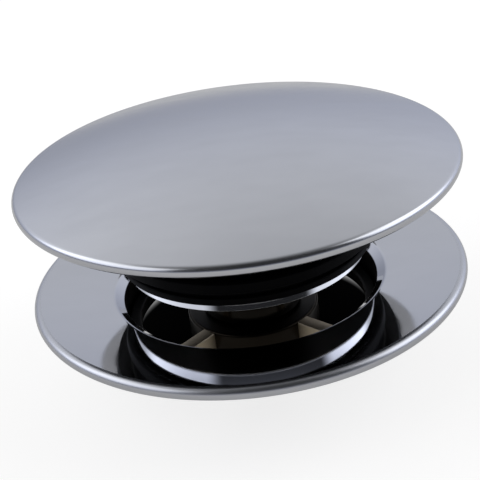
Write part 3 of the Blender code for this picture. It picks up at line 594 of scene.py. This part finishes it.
def turned_metal(name, colour, haze_colour, low, high, haze_w, haze_detail, ring_pitch, waver, relief):
    """Metal off the lathe: its rings draw each highlight out across them, under a faint haze.

    A wave pattern has 20 / tau rings in a unit. The rings are drawn coarser than real.
    """
    ring_depth = 0.01
    material, tree = blank_material(name)
    place = add(tree, "ShaderNodeTexCoord")
    haze = add(tree, "ShaderNodeTexNoise", inputs={"Scale": pattern_scale(haze_w), "Detail": haze_detail},
               links={"Vector": place.outputs["Object"]})
    tone = add(tree, "ShaderNodeMix", {"data_type": "RGBA"},
               {"A": paint(colour), "B": paint(haze_colour)}, {"Factor": haze.outputs["Fac"]})
    rough = add(tree, "ShaderNodeMapRange", inputs={"To Min": low, "To Max": high},
                links={"Value": haze.outputs["Fac"]})
    rings = add(tree, "ShaderNodeTexWave", {"wave_type": "RINGS", "rings_direction": "Z"},
                {"Scale": math.tau / 20 / (ring_pitch * MM), "Distortion": waver, "Detail": 1.0},
                {"Vector": place.outputs["Object"]})
    bump = add(tree, "ShaderNodeBump", inputs={"Strength": relief, "Distance": ring_depth * MM},
               links={"Height": rings.outputs["Fac"]})
    shader = add(tree, "ShaderNodeBsdfPrincipled", inputs={"Metallic": 1.0},
                 links={"Base Color": tone.outputs["Result"], "Roughness": rough.outputs["Result"],
                        "Normal": bump.outputs["Normal"]})
    add(tree, "ShaderNodeOutputMaterial", links={"Surface": shader.outputs["BSDF"]})
    return material


def cut_by(piece, operation, tool):
    """Cuts a piece with another object, to what both share or to what the other leaves."""
    cut = piece.modifiers.new("cut", "BOOLEAN")
    cut.operation = operation
    cut.solver = "EXACT"
    cut.object = tool


brass = turned_metal("brass, turned from bar", "D9B36A", "BE9448", 0.2, 0.36,
                     haze_w=4, haze_detail=4.0, ring_pitch=0.5922, waver=0.4, relief=0.2)
blank = turned("lock_nut_blank", rounded([
    (nut_bore, z1, 0.0), (face_r, z1, 0.0), (corners_r + cone_over, z1 - cone_drop, 0.0),
    (corners_r + cone_over, z0 + cone_drop, 0.0), (face_r, z0, 0.0), (nut_bore, z0, 0.0)]), segments=96)
build = bmesh.new()
bmesh.ops.create_cone(build, cap_ends=True, segments=6, radius1=bar_r * MM, radius2=bar_r * MM,
                      depth=(z1 - z0 + bar_spare) * MM,
                      matrix=Matrix.Translation((0.0, 0.0, (z0 + z1) / 2 * MM)))
hexagon = linked("hexagon_bar", mesh_of("hexagon bar", build))
cut_by(blank, "INTERSECT", hexagon)
edges = blank.modifiers.new("edges", "BEVEL")
edges.width = edge_round * MM
edges.segments = 2
edges.limit_method = "ANGLE"
edges.angle_limit = edge_angle
nut = linked("lock_nut_made", settled(blank, hexagon))
fitted(nut, brass, "turned_brass", "fixed", "lock_nut")

# Nut washer
# A plain washer blanked from stainless strip, so one edge is rounded by the punch. Its faces are
# then turned flat, which leaves them finer rings than the nut's.
low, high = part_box("nut_washer")
outer, z0, z1 = high.x / MM, low.z / MM, high.z / MM
steel = turned_metal("stainless steel, fine turned", "C4C3C0", "B1B0AD", 0.16, 0.3,
                     haze_w=3, haze_detail=3.0, ring_pitch=0.4935, waver=0.3, relief=0.15)
outline = rounded([(outer, z1, 0.08), (outer, z0, 0.2), (nut_bore, z0, 0.08), (nut_bore, z1, 0.15)])
fitted(turned("nut_washer", outline, segments=96), steel, "stainless_steel", "fixed", "nut_washer")

# Return spring
# Round spring wire, wound right-handed. It lifts the plug, and squashes to well under half its
# length when the plug is pushed down.
low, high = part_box("return_spring")
wire, coil_r, coils, coil_points = 0.6, 2.8, 5, 36
z0, z1 = low.z / MM + wire / 2, high.z / MM - wire / 2
path = bpy.data.curves.new("spring wire", "CURVE")
path.dimensions = "3D"
path.bevel_depth = wire / 2 * MM
path.bevel_resolution = 3
path.use_fill_caps = True
line = path.splines.new("POLY")
line.points.add(coils * coil_points)
for k, point in enumerate(line.points):
    angle = math.tau * k / coil_points
    height = z0 + (z1 - z0) * k / (coils * coil_points)
    point.co = (coil_r * math.cos(angle) * MM, coil_r * math.sin(angle) * MM, height * MM, 1.0)
wound = settled(linked("spring_wire", path))
same_point = 0.002
build = bmesh.new()
build.from_mesh(wound)
bmesh.ops.remove_doubles(build, verts=build.verts, dist=same_point * MM)
build.to_mesh(wound)
build.free()
spring = linked("return_spring_made", wound)
fitted(spring, steel, "stainless_steel", "fixed", "return_spring")
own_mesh(spring)

# Latch works
# The cam, its rotor and the stem's bush are moulded from white acetal, which is waxy and lets a
# little light in. The guide cap and the cap's boss are brass, and the stem, clip and washer steel.
flow_w, flow_depth, light_reach = 2.5, 0.02, 0.8
acetal, tree = blank_material("white acetal, moulded")
place = add(tree, "ShaderNodeTexCoord")
flow = add(tree, "ShaderNodeTexNoise", inputs={"Scale": pattern_scale(flow_w), "Detail": 3.0},
           links={"Vector": place.outputs["Object"]})
tone = add(tree, "ShaderNodeMix", {"data_type": "RGBA"}, {"A": paint("E6E4DC"), "B": paint("DAD7CD")},
           {"Factor": flow.outputs["Fac"]})
rough = add(tree, "ShaderNodeMapRange", inputs={"To Min": 0.32, "To Max": 0.48},
            links={"Value": flow.outputs["Fac"]})
bump = add(tree, "ShaderNodeBump", inputs={"Strength": 0.1, "Distance": flow_depth * MM},
           links={"Height": flow.outputs["Fac"]})
shader = add(tree, "ShaderNodeBsdfPrincipled",
             inputs={"IOR": 1.48, "Subsurface Weight": 0.1, "Subsurface Scale": light_reach * MM},
             links={"Base Color": tone.outputs["Result"], "Roughness": rough.outputs["Result"],
                    "Normal": bump.outputs["Normal"]})
add(tree, "ShaderNodeOutputMaterial", links={"Surface": shader.outputs["BSDF"]})

for node, finish in (("cam_ring", acetal), ("rotor", acetal), ("stem_bush", acetal), ("guide_cap", brass),
                     ("cap_boss", brass), ("stem", steel), ("rotor_clip", steel), ("spring_washer", steel)):
    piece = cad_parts[node]
    piece.data.materials.clear()
    piece.data.materials.append(finish)

# Seal plate
# A disc of sheet metal with a polished and plated edge, which shows as the bright line under the
# seal. Its faces are blackened. It clamps the seal to the carrier, and is sunk for three screws.
low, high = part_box("seal_plate")
plate_r, z0, z1 = high.x / MM, low.z / MM, high.z / MM
plug_bore, spigot = 7.6, 12.5
screw_r, screw_count, first_screw = (plug_bore + spigot) / 2, 3, 90
sink_wide, sink_narrow, sink_spare = 2.3, 1.4, 0.4
outline = rounded([(plate_r, z1, 0.12), (plate_r, z0, 0.12), (plug_bore, z0, 0.1), (plug_bore, z1, 0.1)])
plate = turned("seal_plate_blank", outline, segments=256)
sinks = []
for k in range(screw_count):
    angle = math.radians(first_screw + 360 / screw_count * k)
    middle = Matrix.Translation((screw_r * math.cos(angle) * MM, screw_r * math.sin(angle) * MM,
                                 (z0 + z1) / 2 * MM))
    build = bmesh.new()
    bmesh.ops.create_cone(build, cap_ends=True, segments=48, radius1=sink_wide * MM,
                          radius2=sink_narrow * MM, depth=(z1 - z0 + sink_spare) * MM, matrix=middle)
    sinks.append(linked("plate_sink_%d" % k, mesh_of("plate sink", build)))
    cut_by(plate, "DIFFERENCE", sinks[-1])
sunk = linked("seal_plate_made", settled(plate, *sinks))

# The edge is the brightest chrome on the drain, and the faces are a dull black.
plate_chrome = chrome_plate("chrome plate, bright edge", "E2E3E6", "DADBDE", 0.03, 0.06)
tree, out = radius_and_height(plate_chrome)[:2]
coat_where(tree, [(out, plate_r - 0.2, 0.08)], "0E0D0C", 0.4)
fitted(sunk, plate_chrome, "chrome_plate", "plug", "seal_plate")

# Plate screws
# Three slotted countersunk screws of stainless steel, set flush in the plate. One is modelled and
# copied round the axis.
low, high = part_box("plate_screw_1")
z0, z1 = low.z / MM, high.z / MM
head, shank, head_h, head_edge = 2.0, 1.1, 0.75, 0.1
slot_length, slot_w, slot_depth = 6.0, 0.6, 0.4
outline = rounded([
    (0.0, z1, 0.0), (shank, z1, 0.25), (shank, z0 + head_h, 0.0), (head, z0 + head_edge, 0.05),
    (head, z0, 0.05), (0.0, z0, 0.0)], closed=False)
screw = turned("plate_screw_blank", outline, segments=48, closed=False)
build = bmesh.new()
bmesh.ops.create_cube(build, size=1.0, matrix=Matrix.Translation((0.0, 0.0, z0 * MM)) @ Matrix.Diagonal(
    (slot_length * MM, slot_w * MM, 2 * slot_depth * MM, 1.0)))
slot_cut = linked("screw_slot", mesh_of("screw slot", build))
cut_by(screw, "DIFFERENCE", slot_cut)
one_screw = settled(screw, slot_cut)
same_point = 0.003
build = bmesh.new()
build.from_mesh(one_screw)
bmesh.ops.remove_doubles(build, verts=build.verts, dist=same_point * MM)
bmesh.ops.holes_fill(build, edges=[e for e in build.edges if e.is_boundary], sides=0)
build.to_mesh(one_screw)
build.free()
one_screw.transform(Matrix.Translation((screw_r * MM, 0.0, 0.0)))
screws = grown("plate_screws", one_screw, ring_of,
               {"Count": screw_count, "First Angle": math.radians(first_screw), "Finish": steel})
fitted(screws, steel, "stainless_steel", "plug", "plate_screw_1", "plate_screw_2", "plate_screw_3")

# Seal
# Moulded black rubber: a nose that fills the throat, a waist, and a lip that lands on the flange.
# The plate clamps it on the carrier's spigot.
low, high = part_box("seal")
lip_r, z0, z1 = high.x / MM, low.z / MM, high.z / MM
lip_z, lip_back, lip_drop = z1 - 1.7, 0.4, 0.25
nose_r, nose_top = throat_r - 0.35, z0 + 1.1
waist_r, seal_bore = nose_r - 0.8, spigot + FIT
outline = rounded([
    (lip_r - lip_back, z1, 0.3), (lip_r, z1 - lip_drop, 0.25), (lip_r, lip_z, 0.2), (waist_r, lip_z, 0.3),
    (waist_r, nose_top, 0.3), (nose_r, nose_top, 0.25), (nose_r, z0, 0.3), (seal_bore, z0, 0.1),
    (seal_bore, z1, 0.1)])
fitted(turned("seal", outline, segments=192), rubber, "black_rubber", "plug", "seal")
seal_top = z1

# Seal carrier
# The neck between cap and seal, moulded from black acetal. A wide fillet runs from its neck into the
# flange that backs the seal.
low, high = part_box("seal_carrier")
foot_r, z0, z1 = high.x / MM, low.z / MM, high.z / MM
neck, wall, tube = 14.5, 1.5, plug_bore + 1.5
backing_low = seal_top + FIT
backing_top = backing_low + 1.2
core_floor = backing_top + 1.5
web_low, web_high, web_bore = 29.7, 31.3, 2.7
black_acetal = moulded("black acetal, moulded", "040404", "080808", 0.3, 0.45,
                       bloom_w=6, grain_w=0.3, relief=0.12, refraction=1.48)
outline = rounded([
    (neck, z1, 0.3), (neck, backing_top, 1.0), (foot_r, backing_top, 0.25), (foot_r, backing_low, 0.2),
    (spigot, backing_low, 0.1), (spigot, z0, 0.2), (plug_bore, z0, 0.2), (plug_bore, web_low, 0.4),
    (web_bore, web_low, 0.1), (web_bore, web_high, 0.1), (tube, web_high, 0.2), (tube, core_floor, 0.5),
    (neck - wall, core_floor, 0.5), (neck - wall, z1, 0.2)])
fitted(turned("seal_carrier", outline, segments=160), black_acetal, "black_acetal", "plug", "seal_carrier")

# Cap ring
# A rubber cord ring between the carrier's rim and the cap, which keeps water out of the boss. It is
# moulded in one piece and held by the cap.
low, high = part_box("cap_ring")
cord_r = (high.z - low.z) / 2 / MM
cord_mid_r, cord_mid_z = high.x / MM - cord_r, (low.z + high.z) / 2 / MM
cord_steps = 24
outline = []
for step in range(cord_steps):
    angle = math.pi / 2 - math.tau * step / cord_steps
    outline.append((cord_mid_r + cord_r * math.cos(angle), cord_mid_z + cord_r * math.sin(angle)))
fitted(turned("cap_ring", outline, segments=160), rubber, "black_rubber", "plug", "cap_ring")

# Floor
# A flat pale sheet, clear from below. Camera and clear rays see its own light, and gloss sees half of
# that. The shadow under the throat is painted in darker than the real one, as a dark patch set back from the
# axis.
floor_reach = 8000
glow_power, glossy_share = 0.79, 0.5
shade_back, shade_half_w, shade_half_l = 8.0, 22.0, 20.0
shade_starts, shade_ends = 0.85, 1.05
floor_paint, tree = blank_material("pale floor")
ray = add(tree, "ShaderNodeLightPath")
mirrored = add(tree, "ShaderNodeMath", {"operation": "MULTIPLY"}, {1: glossy_share},
               {0: ray.outputs["Is Glossy Ray"]})
seen = add(tree, "ShaderNodeMath", {"operation": "MAXIMUM"},
           links={0: ray.outputs["Is Camera Ray"], 1: mirrored.outputs[0]})
seen = add(tree, "ShaderNodeMath", {"operation": "MAXIMUM"},
           links={0: seen.outputs[0], 1: ray.outputs["Is Transmission Ray"]})
place = add(tree, "ShaderNodeTexCoord")
# Painted shadow: an ellipse set back under the throat, inside which the floor's colour and glow fade to near
# black.
patch = add(tree, "ShaderNodeMapping", {"vector_type": "TEXTURE"},
            {"Location": (0.0, shade_back * MM, 0.0), "Scale": (shade_half_w * MM, shade_half_l * MM, 1.0)},
            {"Vector": place.outputs["Object"]})
away = add(tree, "ShaderNodeVectorMath", {"operation": "LENGTH"}, links={0: patch.outputs["Vector"]})
outside_painted_shadow = add(tree, "ShaderNodeMapRange", {"interpolation_type": "SMOOTHSTEP"},
               {"From Min": shade_starts, "From Max": shade_ends}, {"Value": away.outputs["Value"]})
tone = add(tree, "ShaderNodeMix", {"data_type": "RGBA"}, {"A": paint("080808"), "B": paint("9E9C98")},
           {"Factor": outside_painted_shadow.outputs["Result"]})
matte = add(tree, "ShaderNodeBsdfDiffuse", links={"Color": tone.outputs["Result"]})
strength = add(tree, "ShaderNodeMath", {"operation": "MULTIPLY"}, {1: glow_power},
               {0: outside_painted_shadow.outputs["Result"]})
glow = add(tree, "ShaderNodeEmission", inputs={"Color": paint("FFFFFF")},
           links={"Strength": strength.outputs[0]})
own = add(tree, "ShaderNodeMixShader", links={0: seen.outputs[0], 2: glow.outputs["Emission"]})
both = add(tree, "ShaderNodeAddShader", links={0: matte.outputs["BSDF"], 1: own.outputs["Shader"]})
underside = add(tree, "ShaderNodeNewGeometry")
clear = add(tree, "ShaderNodeBsdfTransparent")
sheet = add(tree, "ShaderNodeMixShader",
            links={0: underside.outputs["Backfacing"], 1: both.outputs["Shader"], 2: clear.outputs["BSDF"]})
add(tree, "ShaderNodeOutputMaterial", links={"Surface": sheet.outputs["Shader"]})

build = bmesh.new()
bmesh.ops.create_grid(build, x_segments=1, y_segments=1, size=floor_reach * MM)
floor = linked("floor", mesh_of("floor", build))
floor.data.materials.append(floor_paint)

# Studio light
# All the light is a tent: a pale wall behind the drain, which is bluer near the floor, a soft panel
# on each side, and a dark gap round the camera. That is what the chrome mirrors. The camera itself
# sees a white backdrop beyond the floor.
backdrop_power = 0.97
wall_bow, right_at_foot, left_by_height = 0.6, 0.55, -1.25
world = bpy.data.worlds.new("studio")
bpy.context.scene.world = world
world.use_nodes = True
tree = world.node_tree
tree.nodes.clear()
way = add(tree, "ShaderNodeTexCoord")
axes = add(tree, "ShaderNodeSeparateXYZ", links={"Vector": way.outputs["Generated"]})
sideways, backward, upward = axes.outputs["X"], axes.outputs["Y"], axes.outputs["Z"]
circling = add(tree, "ShaderNodeMath", {"operation": "ARCTAN2"}, links={0: sideways, 1: backward})
bearing = add(tree, "ShaderNodeMath", {"operation": "DEGREES"}, links={0: circling.outputs[0]}).outputs[0]
soft = {}
for name, value, start, end, first, last in (
        ("wall foot", upward, 0.0, 0.5, 0.52, 0.82),
        ("wall top", upward, 0.6, 1.0, 1.0, 0.76),
        ("behind", backward, -0.55, 0.65, 0.0, 1.0),
        ("low front", upward, -0.02, 0.36, 0.44, 0.04),
        ("panel foot", upward, 0.18, 0.36, 0.0, 1.0),
        ("panel top", upward, 0.72, 0.9, 1.0, 0.0),
        ("left from", bearing, -146, -128, 0.0, 1.5),
        ("left to", bearing, -75, -50, 1.0, 0.0),
        ("right from", bearing, 50, 72, 0.0, 1.8),
        ("right to", bearing, 110, 126, 1.0, 0.0),
        ("whiteness", upward, 0.0, 0.85, 0.0, 1.0)):
    step = add(tree, "ShaderNodeMapRange", {"interpolation_type": "SMOOTHSTEP"},
               {"From Min": start, "From Max": end, "To Min": first, "To Max": last}, {"Value": value})
    soft[name] = step.outputs["Result"]
# The wall is brighter towards its sides, most of all low on the right and high on the left.
lean_up = add(tree, "ShaderNodeMath", {"operation": "MULTIPLY_ADD"},
              {1: left_by_height, 2: right_at_foot}, {0: upward})
lopsided = add(tree, "ShaderNodeMath", {"operation": "MULTIPLY_ADD"}, {1: wall_bow},
               {0: sideways, 2: lean_up.outputs[0]})
shaded = add(tree, "ShaderNodeMath", {"operation": "MULTIPLY_ADD"}, {2: 1.0},
             {0: sideways, 1: lopsided.outputs[0]})
wall = add(tree, "ShaderNodeMath", {"operation": "MULTIPLY"},
           links={0: soft["wall foot"], 1: soft["wall top"]})
lit_wall = add(tree, "ShaderNodeMath", {"operation": "MULTIPLY"},
               links={0: wall.outputs[0], 1: shaded.outputs[0]})
tent = add(tree, "ShaderNodeMix", {"data_type": "FLOAT"},
           links={"Factor": soft["behind"], "A": soft["low front"], "B": lit_wall.outputs[0]})
left = add(tree, "ShaderNodeMath", {"operation": "MULTIPLY"},
           links={0: soft["left from"], 1: soft["left to"]})
panels = add(tree, "ShaderNodeMath", {"operation": "MULTIPLY_ADD"},
             links={0: soft["right from"], 1: soft["right to"], 2: left.outputs[0]})
panel_band = add(tree, "ShaderNodeMath", {"operation": "MULTIPLY"},
                 links={0: soft["panel foot"], 1: soft["panel top"]})
power = add(tree, "ShaderNodeMath", {"operation": "MULTIPLY_ADD"},
            links={0: panels.outputs[0], 1: panel_band.outputs[0], 2: tent.outputs["Result"]})
tint = add(tree, "ShaderNodeMix", {"data_type": "RGBA"}, {"A": paint("E6ECFF"), "B": paint("F9FBFF")},
           {"Factor": soft["whiteness"]})
sky = add(tree, "ShaderNodeBackground",
          links={"Color": tint.outputs["Result"], "Strength": power.outputs[0]})
ray = add(tree, "ShaderNodeLightPath")
backdrop = add(tree, "ShaderNodeBackground", inputs={"Color": paint("FFFFFF"), "Strength": backdrop_power})
shown = add(tree, "ShaderNodeMixShader", links={
    0: ray.outputs["Is Camera Ray"], 1: sky.outputs["Background"], 2: backdrop.outputs["Background"]})
add(tree, "ShaderNodeOutputWorld", links={"Surface": shown.outputs["Shader"]})

# Camera
# It stands low in front of the drain, a little under 18 cm away, and leans to the left, so that the
# drain shows tipped up at its right.
sensor_w, lens_pixels, picture_pixels = 36.0, 1171.3, 480
distance, elevation = 174.89 * MM, math.radians(28.741)
pan, tilt, lean = math.radians(-0.232), math.radians(1.897), math.radians(7.334)
scene = bpy.context.scene
camera = linked("camera", bpy.data.cameras.new("camera"))
scene.camera = camera
camera.data.sensor_width = sensor_w
camera.data.lens = sensor_w * lens_pixels / picture_pixels
camera.data.clip_start = 10 * MM
camera.data.clip_end = 50000 * MM
forward = Vector((0.0, math.cos(elevation), -math.sin(elevation)))
right = Vector((1.0, 0.0, 0.0))
up = right.cross(forward)
camera_up = up * math.cos(tilt) - forward * math.sin(tilt)
level = forward * math.cos(tilt) + up * math.sin(tilt)
ahead = level * math.cos(pan) + right * math.sin(pan)
across = right * math.cos(pan) - level * math.sin(pan)
x_axis = across * math.cos(lean) - camera_up * math.sin(lean)
y_axis = across * math.sin(lean) + camera_up * math.cos(lean)
place = Matrix((x_axis, y_axis, -ahead)).transposed().to_4x4()
place.translation = Vector((0.0, 0.0, rim_edge * MM)) - forward * distance
camera.matrix_world = place

scene.view_settings.view_transform = "Standard"
